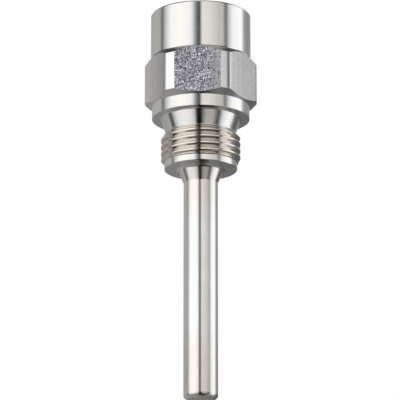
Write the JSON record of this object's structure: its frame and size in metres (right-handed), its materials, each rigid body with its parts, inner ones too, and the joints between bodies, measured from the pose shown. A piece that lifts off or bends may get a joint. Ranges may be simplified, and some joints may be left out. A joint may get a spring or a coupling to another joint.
{
  "type": "screw-in thermowell",
  "caption": "Screw-in thermowell with a hexagon head, a threaded sensor socket, a process thread under a sealing collar, and a slim closed stem with a probe bore.",
  "frame": {"origin": "on the axis, in the plane of the sealing face under the collar", "axes": "+Z along the axis towards the sensor end, so the stem points down; a flat of the hexagon faces -Y"},
  "size_m": [0.0296, 0.027, 0.1045],
  "materials": {
    "steel": "turned and polished, with grained flats on the hexagon"
  },
  "bodies": {
    "root": {"thermowell": "steel"}
  },
  "joints": []
}
